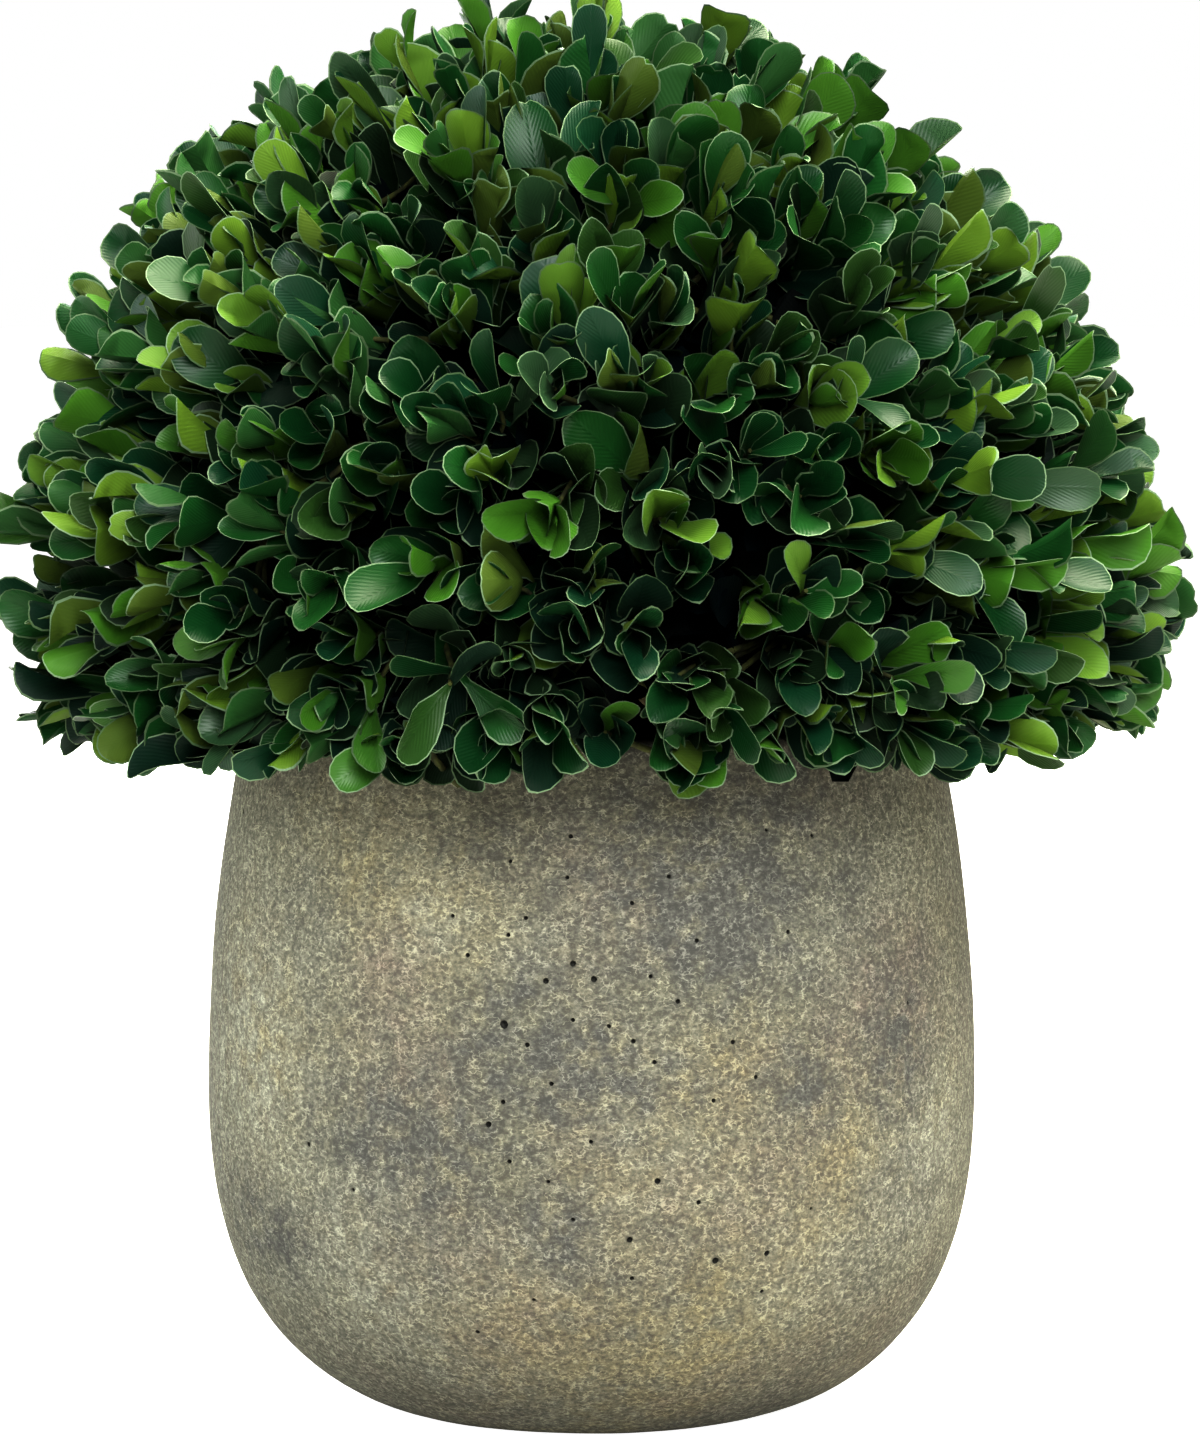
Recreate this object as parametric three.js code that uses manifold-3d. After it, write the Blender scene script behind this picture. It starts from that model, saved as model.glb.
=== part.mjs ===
// A clipped boxwood ball in a round-bellied cement pot.
// Millimetres, +Z up, +X to the right and -Y towards the front. The origin is the centre of the pot's flat underside.
// Four solids stand in each other: the pot, the potting mix inside it, a short stem on the mix,
// and the clipped crown, which closes over the stem and overhangs the pot's lip all round.
import * as THREE from "three";
import { mergeVertices } from "three/addons/utils/BufferGeometryUtils.js";
import Module from "manifold-3d";

// Clearance left between two pieces that touch.
const GAP = 0.3;

// The pot: a flat foot, a round belly and a wall that draws in towards the lip.
const POT_HEIGHT = 162;
const FOOT_RADIUS = 47;
const BELLY_RADIUS = 90;
const BELLY_HEIGHT = 77;
const LIP_RADIUS = 80.6;
const WALL = 9;
const FLOOR = 12;
const LIP_ROUNDING = 3;
const LIP_STEPS = 3; // facets in each quarter turn of the lip's rounding
const BELLY_FLATNESS = 2.5; // exponent along the height: over 2 keeps the belly upright for longer
const FOOT_FULLNESS = 1.7; // exponent along the radius: under 2 lets the foot sweep in more steeply
const POT_SEGMENTS = 48;

// The potting mix reaches to a little below the lip.
const MIX_TOP = 150;

// The stem, hidden inside the crown: a flared foot, a slight lean, and a tip where it forks.
const STEM_HEIGHT = 46;
const STEM_FOOT_RADIUS = 9;
const STEM_RADIUS = 6.5;
const STEM_TIP_RADIUS = 5;
const STEM_FLARE_HEIGHT = 9;
const STEM_LEAN = 2.5;
const STEM_SIDES = 14;
const STEM_RINGS = 8;

// The crown: every shoot points away from one centre, and the shears cut them to a slightly flattened ball.
const CROWN_CENTRE = new THREE.Vector3(1.5, 0, 197);
const CROWN_HALF_WIDTH = 140;
const CROWN_HALF_HEIGHT = 132;
const CROWN_LOWER_HALF_HEIGHT = 140; // below the centre, down to the flat cut, the ball is round
const CROWN_UNDERSIDE = 154;
const CROWN_DETAIL = 13; // subdivisions of each edge of the icosahedron that it starts from
const UNDERSIDE_UNEVENNESS = 2.5;
const EDGE_SHARPNESS = 20; // a higher power leaves a sharper edge between the ball and its underside
const TUFT_COUNT = 330; // over a whole ball
const TUFT_DEPTH = 7; // how far the surface falls back between neighbouring tufts
const TUFT_STRAYING = 0.35; // how far a tuft strays from an even spacing, as a share of that spacing
const TUFT_REACH = 0.62; // from a tuft's top to the dip round it, as a share of the same spacing

// Broad unevenness of the clipping: each entry pushes the surface in or out around one direction.
const SHOULDERS = [
  { azimuth: 0, elevation: 55, reach: 28, out: -4 }, // clipped flatter at the upper right
  { azimuth: 180, elevation: 50, reach: 24, out: 5 }, // fuller at the upper left
  { azimuth: 0, elevation: 14, reach: 14, out: -6 },
];

const GOLDEN_ANGLE = Math.PI * (3 - Math.sqrt(5));
const degrees = THREE.MathUtils.degToRad;

const wasm = await Module();
wasm.setup();

// A closed three.js geometry as a manifold-3d solid.
function solidOf(geometry) {
  const bare = geometry.clone();
  bare.deleteAttribute("normal");
  bare.deleteAttribute("uv");
  const merged = mergeVertices(bare, 1e-3);
  return new wasm.Manifold(
    new wasm.Mesh({
      numProp: 3,
      vertProperties: merged.attributes.position.array,
      triVerts: new Uint32Array(merged.index.array),
    }),
  );
}

// A manifold-3d solid as a three.js geometry.
function geometryOf(solid) {
  const { vertProperties, triVerts } = solid.getMesh();
  const geometry = new THREE.BufferGeometry();
  geometry.setAttribute("position", new THREE.BufferAttribute(vertProperties, 3));
  geometry.setIndex(new THREE.BufferAttribute(triVerts, 1));
  geometry.computeVertexNormals();
  return geometry;
}

// A profile of [radius, height] pairs turned round the Z axis.
function turned(profile, segments) {
  const points = profile.map(([radius, height]) => new THREE.Vector2(radius, height));
  return new THREE.LatheGeometry(points, segments).rotateX(Math.PI / 2);
}

// The pot's outer radius at a height: a superellipse below the belly and a parabola above it.
function potRadius(height) {
  if (height < BELLY_HEIGHT) {
    const below = 1 - height / BELLY_HEIGHT;
    const share = (1 - below ** BELLY_FLATNESS) ** (1 / FOOT_FULLNESS);
    return FOOT_RADIUS + (BELLY_RADIUS - FOOT_RADIUS) * share;
  }
  const above = (height - BELLY_HEIGHT) / (POT_HEIGHT - BELLY_HEIGHT);
  return BELLY_RADIUS - (BELLY_RADIUS - LIP_RADIUS) * above ** 2;
}

const cavityRadius = (height) => potRadius(height) - WALL;

// Even steps from one number to another, closer together near the first when crowding is over 1.
function steps(from, to, count, crowding = 1) {
  return Array.from({ length: count + 1 }, (_, i) => from + (to - from) * (i / count) ** crowding);
}

const cavityLevels = steps(FLOOR, MIX_TOP, 6, 1.5);

// The wall's cross-section near and over the lip, grown outwards by a margin.
function lipArc(margin) {
  const level = POT_HEIGHT - LIP_ROUNDING;
  const outer = potRadius(level);
  const radius = LIP_ROUNDING + margin;
  const corner = (middle, from, to) =>
    steps(from, to, LIP_STEPS).map((angle) => [
      middle + radius * Math.cos(degrees(angle)),
      level + radius * Math.sin(degrees(angle)),
    ]);
  return [
    ...corner(outer - LIP_ROUNDING, 0, 90),
    ...corner(outer - WALL + LIP_ROUNDING, 90, 180),
  ];
}

function potGeometry() {
  const level = POT_HEIGHT - LIP_ROUNDING;
  const outer = [
    ...steps(0, BELLY_HEIGHT, 9, 1.9),
    ...steps(BELLY_HEIGHT, level, 4).slice(1, -1),
  ].map((height) => [potRadius(height), height]);
  const inner = [...cavityLevels].reverse().map((height) => [cavityRadius(height), height]);
  return turned([[0, 0], ...outer, ...lipArc(0), ...inner, [0, FLOOR]], POT_SEGMENTS);
}

// The mix follows the cavity's own levels, so that its facets run beside the wall's.
function mixGeometry() {
  const wall = cavityLevels.map((height) => [cavityRadius(height) - GAP, height]);
  wall[0][1] += GAP;
  return turned([[0, FLOOR + GAP], ...wall, [0, MIX_TOP]], POT_SEGMENTS);
}

// The stem's radius at a share of its height: a slow taper with a flare at the foot.
function stemRadius(share) {
  const flare = (STEM_FOOT_RADIUS - STEM_RADIUS) * Math.exp((-share * STEM_HEIGHT) / STEM_FLARE_HEIGHT);
  return STEM_RADIUS + (STEM_TIP_RADIUS - STEM_RADIUS) * share + flare;
}

// The stem as stacked rings, grown by a margin, from a flat cut at the mix up to its fork.
function stemGeometry(margin) {
  const span = STEM_HEIGHT + 2 * margin;
  const rings = steps(0, 1, STEM_RINGS).map((share) => [stemRadius(share) + margin, share * span]);
  const geometry = turned([[0, 0], ...rings, [0, span]], STEM_SIDES);
  const position = geometry.attributes.position;
  for (let i = 0; i < position.count; i++) {
    position.setX(i, position.getX(i) + STEM_LEAN * (position.getZ(i) / span) ** 2);
  }
  return geometry.translate(0, 0, MIX_TOP + GAP - margin);
}

// A unit vector from an azimuth about Z and an elevation above the horizon, both in degrees.
function direction(azimuth, elevation) {
  const [a, e] = [degrees(azimuth), degrees(elevation)];
  return new THREE.Vector3(Math.cos(a) * Math.cos(e), Math.sin(a) * Math.cos(e), Math.sin(e));
}

const shoulders = SHOULDERS.map(({ azimuth, elevation, reach, out }) => ({
  towards: direction(azimuth, elevation),
  reach: degrees(reach),
  out,
}));

// How far the furthest leaf tips lie from the crown's centre, along a unit vector.
function tipRadius(towards) {
  const half = towards.z > 0 ? CROWN_HALF_HEIGHT : CROWN_LOWER_HALF_HEIGHT;
  const across = Math.hypot(towards.x, towards.y) / CROWN_HALF_WIDTH;
  const ball = 1 / Math.hypot(across, towards.z / half);
  return shoulders.reduce(
    (radius, s) => radius + s.out * Math.exp(-((towards.angleTo(s.towards) / s.reach) ** 2)),
    ball,
  );
}

// A repeatable stray number from -0.5 to 0.5.
function stray(index, axis) {
  const wave = Math.sin(index * 12.9898 + axis * 78.233) * 43758.5453;
  return wave - Math.floor(wave) - 0.5;
}

const TUFT_SPACING = Math.sqrt((4 * Math.PI) / TUFT_COUNT); // radians

// Directions of the tufts: the golden angle spreads them evenly over a ball, and each strays a little.
const tufts = Array.from({ length: TUFT_COUNT }, (_, i) => {
  const z = 1 - (2 * (i + 0.5)) / TUFT_COUNT;
  const flat = Math.sqrt(1 - z * z);
  const even = new THREE.Vector3(flat * Math.cos(i * GOLDEN_ANGLE), flat * Math.sin(i * GOLDEN_ANGLE), z);
  const off = new THREE.Vector3(stray(i, 0), stray(i, 1), stray(i, 2));
  return even.addScaledVector(off, 2 * TUFT_STRAYING * TUFT_SPACING).normalize();
});

// 0 on the top of a tuft, 1 in the dip between tufts.
function dip(towards) {
  const nearest = Math.min(...tufts.map((tuft) => towards.angleTo(tuft)));
  return Math.min(1, (nearest / (TUFT_REACH * TUFT_SPACING)) ** 2);
}

// The crown as a lumpy ball with an uneven flat underside, before the pot and the stem are cut out of it.
function crownLump() {
  const geometry = new THREE.IcosahedronGeometry(1, CROWN_DETAIL);
  const position = geometry.attributes.position;
  const towards = new THREE.Vector3();
  for (let i = 0; i < position.count; i++) {
    towards.fromBufferAttribute(position, i).normalize();
    const bump = dip(towards);
    const ball = tipRadius(towards) - TUFT_DEPTH * bump;
    const depth = CROWN_CENTRE.z - CROWN_UNDERSIDE - UNDERSIDE_UNEVENNESS * bump;
    const flat = towards.z < 0 ? depth / -towards.z : Infinity;
    const blended = (ball ** -EDGE_SHARPNESS + flat ** -EDGE_SHARPNESS) ** (-1 / EDGE_SHARPNESS);
    towards.multiplyScalar(blended).add(CROWN_CENTRE);
    position.setXYZ(i, towards.x, towards.y, towards.z);
  }
  return geometry;
}

// The pot's wall round the crown's foot, grown by the gap.
function wallClearance() {
  const low = MIX_TOP;
  const level = POT_HEIGHT - LIP_ROUNDING;
  const outer = steps(low, level, 2).slice(0, -1).map((height) => [potRadius(height) + GAP, height]);
  const inner = steps(level, low, 2).slice(1).map((height) => [cavityRadius(height) - GAP, height]);
  const ring = [...outer, ...lipArc(GAP), ...inner];
  return turned([...ring, ring[0]], POT_SEGMENTS);
}

function crownGeometry() {
  const lump = solidOf(crownLump());
  const wall = solidOf(wallClearance());
  const stem = solidOf(stemGeometry(GAP));
  return geometryOf(lump.subtract(wall).subtract(stem));
}

// A named mesh with its own material.
function piece(name, geometry, color, roughness) {
  const material = new THREE.MeshStandardMaterial({ color, roughness, metalness: 0 });
  const mesh = new THREE.Mesh(geometry, material);
  mesh.name = name;
  return mesh;
}

const plant = new THREE.Group();
plant.add(piece("pot", potGeometry(), "#8d8a74", 0.9));
plant.add(piece("potting_mix", mixGeometry(), "#2b221a", 0.95));
plant.add(piece("stem", stemGeometry(0), "#6b5b45", 0.85));
plant.add(piece("crown", crownGeometry(), "#2c4a1e", 0.6));

export default plant;
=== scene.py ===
"""A clipped box ball in a round-bellied cement pot, leaf by leaf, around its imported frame.

Boughs fork from the short stem, branches from the boughs and twigs from the branches, by one seeded rule.
Each twig ends in a spray of leaves in crossed pairs, and the tips of all sprays end close to the rounded
line that the shears cut. Lengths given in millimetres are turned to metres by MM.
"""

import math

import bpy
import numpy as np
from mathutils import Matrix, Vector


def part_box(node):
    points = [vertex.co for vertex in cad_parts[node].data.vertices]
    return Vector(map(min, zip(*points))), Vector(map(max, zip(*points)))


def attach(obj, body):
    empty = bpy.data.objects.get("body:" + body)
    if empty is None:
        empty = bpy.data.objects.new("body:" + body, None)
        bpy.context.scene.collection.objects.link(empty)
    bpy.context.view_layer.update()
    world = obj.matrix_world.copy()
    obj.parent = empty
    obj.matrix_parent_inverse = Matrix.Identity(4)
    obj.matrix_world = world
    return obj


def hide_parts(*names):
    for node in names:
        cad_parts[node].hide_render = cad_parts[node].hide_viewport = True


MM = 0.001

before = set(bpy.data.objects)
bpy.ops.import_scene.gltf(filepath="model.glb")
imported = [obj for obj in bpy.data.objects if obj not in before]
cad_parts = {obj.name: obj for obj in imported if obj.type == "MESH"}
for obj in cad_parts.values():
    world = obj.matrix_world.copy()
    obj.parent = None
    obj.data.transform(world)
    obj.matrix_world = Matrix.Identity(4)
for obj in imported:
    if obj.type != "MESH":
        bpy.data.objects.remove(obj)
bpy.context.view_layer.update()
bpy.ops.object.select_all(action="DESELECT")

rng = np.random.default_rng(7)

# -------------------------------------------------------------------------------------------------
# Measures
# -------------------------------------------------------------------------------------------------

crown_low, crown_high = (np.array(corner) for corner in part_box("crown"))
_, pot_high = (np.array(corner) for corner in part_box("pot"))
_, mix_high = (np.array(corner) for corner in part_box("potting_mix"))
stem_low, stem_high = (np.array(corner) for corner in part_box("stem"))

# The ball that the shears cut: all sprays point away from its centre, and some tips stand past it.
CROWN_CENTRE = np.array([1.5, 0.0, 197.0]) * MM
CROWN_HALF_WIDTH = 137.5 * MM
TIPS_PAST_TOP = 3 * MM
CROWN_HALF_HEIGHT = crown_high[2] - CROWN_CENTRE[2] - TIPS_PAST_TOP
CROWN_LOWER_HALF_HEIGHT = 140 * MM
TIPS_PAST_UNDERSIDE = 5 * MM
CROWN_UNDERSIDE = crown_low[2] - TIPS_PAST_UNDERSIDE
LOWEST_SPRAY = math.radians(-27)  # sprays below this would grow into the pot

# Broad unevenness of the clipping: azimuth, elevation and reach in degrees, and how far it stands out.
SHOULDERS = (
    (0, 50, 24, -6 * MM),
    (0, 31, 9, -3 * MM),
    (180, 43, 21, 7 * MM),
    (0, 14, 14, -6 * MM),
    (0, 72, 14, 3 * MM),
    (-90, 84, 20, 3 * MM),
    (180, 77, 13, 6 * MM),
    (180, -16, 10, 8 * MM),
)

UNDERSIDE_RISE = 0.2  # past the pot's lip the underside rises outwards, by this share of the way out

SPRAY_COUNT = 640
SPRAY_STRAYING = 0.36  # how far a spray strays from an even spacing, as a share of that spacing
SPRAY_TILT = math.radians(14)
CLIPPING_DEPTH = 12 * MM  # how far short of the shears' line a spray may end
REGROWTH = 7 * MM  # how far past that line a spray may have grown since
OUTER_PAIRS = 4  # pairs of finely shaped leaves
INNER_PAIRS = 3  # coarser pairs below them, in the shade
INTERNODE = (5.6 * MM, 8.6 * MM)
GOLDEN_ANGLE = math.pi * (3 - math.sqrt(5))

# From the tip down: how many degrees each pair opens from the twig, and its leaves' length beside a full one.
PAIR_OPENING = np.radians([11, 14, 18, 22, 27, 34, 42])
PAIR_SIZE = np.array([0.76, 0.93, 1.0, 1.0, 0.95, 0.95, 0.95])

LEAF_LENGTH = (19 * MM, 26.5 * MM)
LEAF_SLENDERNESS = (0.41, 0.58)  # width over length
LEAF_THICKNESS = 0.3 * MM
LEAF_MARGIN = 0.29 * MM  # the pale, slightly thickened edge
MARGIN_THICKNESS = 0.22 * MM
PETIOLE_HALF_WIDTH = 0.4 * MM

# The pot's outer profile.
POT_HEIGHT = pot_high[2]
POT_WALL = 9 * MM
POT_FLOOR = 12 * MM
FOOT_RADIUS = 47 * MM
BELLY_RADIUS = 90 * MM
BELLY_HEIGHT = 77 * MM
LIP_RADIUS = 80.6 * MM
LIP_ROUNDING = 3 * MM
BELLY_FLATNESS = 2.5  # the two powers of the superellipse between foot and belly
FOOT_FULLNESS = 1.7
FOOT_ROUNDING = 5 * MM  # how far the foot's worn edge draws in
FOOT_ROUNDING_REACH = 12 * MM
PIECE_GAP = 0.3 * MM  # between the pot, the mix and the stem


def pot_radius(height):
    """The pot's outer radius at a height: a superellipse below the belly and a parabola above it."""
    below = np.clip(1 - height / BELLY_HEIGHT, 0, 1)
    above = np.clip((height - BELLY_HEIGHT) / (POT_HEIGHT - BELLY_HEIGHT), 0, 1)
    foot = FOOT_RADIUS + (BELLY_RADIUS - FOOT_RADIUS) * (1 - below**BELLY_FLATNESS) ** (1 / FOOT_FULLNESS)
    return foot - (BELLY_RADIUS - LIP_RADIUS) * above**2


def direction(azimuth, elevation):
    """Unit vectors from azimuths about Z and elevations above the horizon, in radians."""
    flat = np.cos(elevation)
    return np.stack([np.cos(azimuth) * flat, np.sin(azimuth) * flat, np.sin(elevation)], axis=-1)


def clipped_radius(towards):
    """How far from the crown's centre the shears cut, along unit vectors."""
    half = np.where(towards[:, 2] > 0, CROWN_HALF_HEIGHT, CROWN_LOWER_HALF_HEIGHT)
    across = np.hypot(towards[:, 0], towards[:, 1]) / CROWN_HALF_WIDTH
    radius = 1 / np.hypot(across, towards[:, 2] / half)
    for azimuth, elevation, reach, out in SHOULDERS:
        middle = direction(math.radians(azimuth), math.radians(elevation))
        angle = np.arccos(np.clip(towards @ middle, -1, 1))
        radius = radius + out * np.exp(-((angle / math.radians(reach)) ** 2))
    return radius


def unit(vectors):
    """The same directions at length 1."""
    return vectors / np.linalg.norm(vectors, axis=-1, keepdims=True)


def between(low_high, size):
    """Random values between two limits, evenly spread."""
    return rng.uniform(low_high[0], low_high[1], size)


# -------------------------------------------------------------------------------------------------
# Materials
# -------------------------------------------------------------------------------------------------


def linear(hex_colour):
    """An sRGB hex colour as linear red, green, blue and alpha."""
    levels = [int(hex_colour[i : i + 2], 16) / 255 for i in (1, 3, 5)]
    return [c / 12.92 if c <= 0.04045 else ((c + 0.055) / 1.055) ** 2.4 for c in levels] + [1.0]


def node(tree, kind, inputs=None, **settings):
    """Adds a node with its settings; each input, by name or number, takes a value or a socket to link."""
    made = tree.nodes.new(kind)
    for name, value in settings.items():
        setattr(made, name, value)
    for name, value in (inputs or {}).items():
        if isinstance(value, bpy.types.NodeSocket):
            tree.links.new(value, made.inputs[name])
        else:
            made.inputs[name].default_value = value
    return made


def new_material(name):
    """A material with only a Principled shader, and its tree and shader."""
    material = bpy.data.materials.new(name)
    material.use_nodes = True
    tree = material.node_tree
    return material, tree, tree.nodes["Principled BSDF"]


LEAF_MAP = "OFBake"  # each leaf's own map: across it, and from base to tip
VEIN_PAIRS = 16
VEIN_SLANT = 0.9
VEIN_DEPTH = 0.05 * MM
VEIN_STRENGTH = 0.3
MIDRIB_HALF_WIDTH = 0.05  # of the leaf's width
MIDRIB_RISE = 4.0  # beside the side veins


def veins(tree):
    """A bump for the midrib and the fine side veins that leave it slantwise."""
    where = node(tree, "ShaderNodeUVMap", uv_map=LEAF_MAP)
    parts = node(tree, "ShaderNodeSeparateXYZ", {0: where.outputs[0]})
    off_middle = node(tree, "ShaderNodeMath", {0: parts.outputs["X"], 1: 0.5}, operation="SUBTRACT")
    side = node(tree, "ShaderNodeMath", {0: off_middle.outputs[0]}, operation="ABSOLUTE")
    slant = node(tree, "ShaderNodeMath", {0: side.outputs[0], 1: -VEIN_SLANT}, operation="MULTIPLY")
    along = node(tree, "ShaderNodeMath", {0: parts.outputs["Y"], 1: slant.outputs[0]}, operation="ADD")
    whole_turns = 2 * math.pi * VEIN_PAIRS
    turns = node(tree, "ShaderNodeMath", {0: along.outputs[0], 1: whole_turns}, operation="MULTIPLY")
    ripple = node(tree, "ShaderNodeMath", {0: turns.outputs[0]}, operation="SINE")
    midrib = node(
        tree,
        "ShaderNodeMapRange",
        {"Value": side.outputs[0], "From Max": MIDRIB_HALF_WIDTH, "To Min": MIDRIB_RISE, "To Max": 0.0},
        interpolation_type="SMOOTHSTEP",
    )
    height = node(tree, "ShaderNodeMath", {0: ripple.outputs[0], 1: midrib.outputs[0]}, operation="ADD")
    return node(
        tree,
        "ShaderNodeBump",
        {"Height": height.outputs[0], "Strength": VEIN_STRENGTH, "Distance": VEIN_DEPTH},
    )


WAX_IOR = 1.45


def leaf_skin(name, colour, roughness, gloss):
    """One face of a box leaf: leathery, with a waxy sheen that picks out its curves, and one plain colour."""
    material, tree, skin = new_material(name)
    skin.inputs["Base Color"].default_value = linear(colour)
    skin.inputs["Roughness"].default_value = roughness
    skin.inputs["IOR"].default_value = WAX_IOR
    skin.inputs["Specular IOR Level"].default_value = gloss
    tree.links.new(veins(tree).outputs[0], skin.inputs["Normal"])
    return material


# Tints with their shares of the sprays. First the upper faces, from blue-green old leaves to fresh ones.
UPPER_TINTS = (
    ("upper_blue_green", "#103c25", 0.14),
    ("upper_deep_green", "#0b3a19", 0.32),
    ("upper_bottle_green", "#1a4a1e", 0.25),
    ("upper_grey_green", "#2e4a30", 0.12),
    ("upper_olive_green", "#2a491e", 0.11),
    ("upper_fresh_green", "#3c6626", 0.06),
)
# Undersides.
UNDER_TINTS = (
    ("under_dark_green", "#164a1e", 0.22),
    ("under_dull_green", "#2c552a", 0.23),
    ("under_olive", "#4a5e24", 0.17),
    ("under_leaf_green", "#487426", 0.19),
    ("under_yellow_green", "#5f7d2a", 0.19),
)
# Both faces of young sprays.
YOUNG_TINTS = (("young_leaf_green", "#3f6b20", 0.5), ("young_yellow_green", "#56762a", 0.5))
MARGIN_TINTS = (("margin_pale", "#71876a", 0.5), ("margin_dull", "#52684b", 0.5))
# Leaves below the surface, darkened to paint the shade deep in the ball and on its underside, and those
# inside the ball, darker still as painted shade.
DEEP_SHADE_TINTS = (("deep_shade_green", "#07281a", 0.6), ("deep_shade_olive_green", "#152c17", 0.4))
SHADED_TINTS = (("shaded_green", "#030e11", 0.7), ("shaded_brown_green", "#090f0e", 0.3))

# Each set of tints with its roughness and its gloss.
LEAF_FINISHES = (
    (UPPER_TINTS, 0.41, 0.42),
    (UNDER_TINTS, 0.55, 0.3),
    (YOUNG_TINTS, 0.55, 0.25),
    (MARGIN_TINTS, 0.50, 0.3),
    (DEEP_SHADE_TINTS, 0.55, 0.3),
    (SHADED_TINTS, 0.60, 0.15),
)
leaf_skins = []
for tints, roughness, gloss in LEAF_FINISHES:
    leaf_skins += [leaf_skin(name, colour, roughness, gloss) for name, colour, _ in tints]

# Where each set starts among the leaf skins.
FIRST_UNDER = len(UPPER_TINTS)
FIRST_YOUNG = FIRST_UNDER + len(UNDER_TINTS)
FIRST_MARGIN = FIRST_YOUNG + len(YOUNG_TINTS)
FIRST_DEEP_SHADE = FIRST_MARGIN + len(MARGIN_TINTS)
FIRST_SHADED = FIRST_DEEP_SHADE + len(DEEP_SHADE_TINTS)


def shares(tints):
    """The tints' shares as numbers that add up to 1."""
    parts = np.array([part for _, _, part in tints])
    return parts / parts.sum()


def set_stops(ramp, places, tints):
    """Gives a colour ramp's two stops their places and hex colours."""
    for stop, place, tint in zip(ramp.color_ramp.elements, places, tints):
        stop.position = place
        stop.color = linear(tint)


BARK_FURROW = 1.2 * MM
BARK_STRETCH = 0.25  # furrows are four times as long as they are wide
BARK_RELIEF = 0.5 * MM


def box_bark(name, furrow_colour, ridge_colour):
    """Box bark, rough and finely furrowed along the limb: dull, with dark furrows between paler ridges."""
    material, tree, skin = new_material(name)
    where = node(tree, "ShaderNodeTexCoord")
    stretched = node(
        tree,
        "ShaderNodeMapping",
        {"Vector": where.outputs["Object"], "Scale": (1, 1, BARK_STRETCH)},
    )
    # A furrow and a ridge together are one wave of the noise.
    furrows = node(
        tree,
        "ShaderNodeTexNoise",
        {"Vector": stretched.outputs[0], "Scale": 0.5 / BARK_FURROW, "Detail": 4.0},
    )
    colour = node(tree, "ShaderNodeValToRGB", {"Fac": furrows.outputs["Fac"]})
    set_stops(colour, (0.35, 0.68), (furrow_colour, ridge_colour))
    bump = node(
        tree,
        "ShaderNodeBump",
        {"Height": furrows.outputs["Fac"], "Strength": 0.6, "Distance": BARK_RELIEF},
    )
    tree.links.new(colour.outputs[0], skin.inputs["Base Color"])
    tree.links.new(bump.outputs[0], skin.inputs["Normal"])
    skin.inputs["Roughness"].default_value = 0.85
    return material


MIX_GRAIN = 3 * MM
MIX_RELIEF = 1.5 * MM


def damp_potting_mix():
    """Dark peaty mix, crumbled by hand: rough and dull all over, with paler crumbs of bark in it."""
    material, tree, skin = new_material("potting_mix_peat")
    where = node(tree, "ShaderNodeTexCoord")
    crumbs = node(
        tree,
        "ShaderNodeTexNoise",
        {"Vector": where.outputs["Object"], "Scale": 1 / MIX_GRAIN, "Detail": 5.0},
    )
    colour = node(tree, "ShaderNodeValToRGB", {"Fac": crumbs.outputs["Fac"]})
    set_stops(colour, (0.38, 0.7), ("#17110c", "#4a3826"))
    bump = node(
        tree,
        "ShaderNodeBump",
        {"Height": crumbs.outputs["Fac"], "Strength": 0.8, "Distance": MIX_RELIEF},
    )
    tree.links.new(colour.outputs[0], skin.inputs["Base Color"])
    tree.links.new(bump.outputs[0], skin.inputs["Normal"])
    skin.inputs["Roughness"].default_value = 0.95
    return material


# Soft stains on the cement's front: azimuth in degrees, height and reach in millimetres.
OCHRE_STAINS = (
    (-130, 137, 26),
    (-113, 129, 30),
    (-137, 89, 24),
    (-150, 98, 24),
    (-70, 93, 18),
    (-83, 84, 28),
    (-74, 40, 48),
    (-104, 29, 40),
    (-90, 8, 44),
    (-52, 66, 24),
)
SOOT_STAINS = (
    (-85, 132, 40),
    (-72, 120, 24),
    (-63, 139, 46),
    (-106, 75, 38),
    (-97, 99, 22),
    (-84, 86, 20),
    (-122, 72, 26),
    (-58, 86, 16),
    (-145, 48, 18),
    (-94, 53, 16),
    (-39, 88, 18),
)
ROSE_STAINS = ((-117, 88, 22), (-41, 102, 26), (-120, 112, 16))
PALE_STAINS = (
    (-114, 123, 16),
    (-155, 104, 44),
    (-160, 62, 50),
    (-128, 38, 40),
    (-99, 116, 10),
    (-31, 64, 30),
)
STAINS = {"ochre": OCHRE_STAINS, "rose": ROSE_STAINS, "pale": PALE_STAINS, "soot": SOOT_STAINS}
STAIN_FIELD = 40 * MM  # the wide, faint stains all round
STAIN_FIELD_LEVELS = (0.45, 0.85)
STAIN_BLOTCH = 5 * MM  # the blotches that break up every stain
STAIN_BLOTCH_LEVELS = (0.3, 0.7)
STAIN_BLOTCH_COVER = (0.1, 1.1)

# The ground under the flakes, the flakes themselves, and how much more of the ground they hide where stained.
GROUND_TINTS = {
    "plain": "#5a594f",
    "ochre": "#5e594a",
    "rose": "#5e574e",
    "pale": "#67675d",
    "soot": "#4f4f4b",
}
FLAKE_TINTS = {
    "plain": "#a2a18c",
    "ochre": "#a69f7e",
    "rose": "#a19585",
    "pale": "#b1b19f",
    "soot": "#898980",
}
FLAKE_COVER = {"ochre": 0.035, "rose": 0.0, "pale": 0.02, "soot": -0.055}

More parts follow.
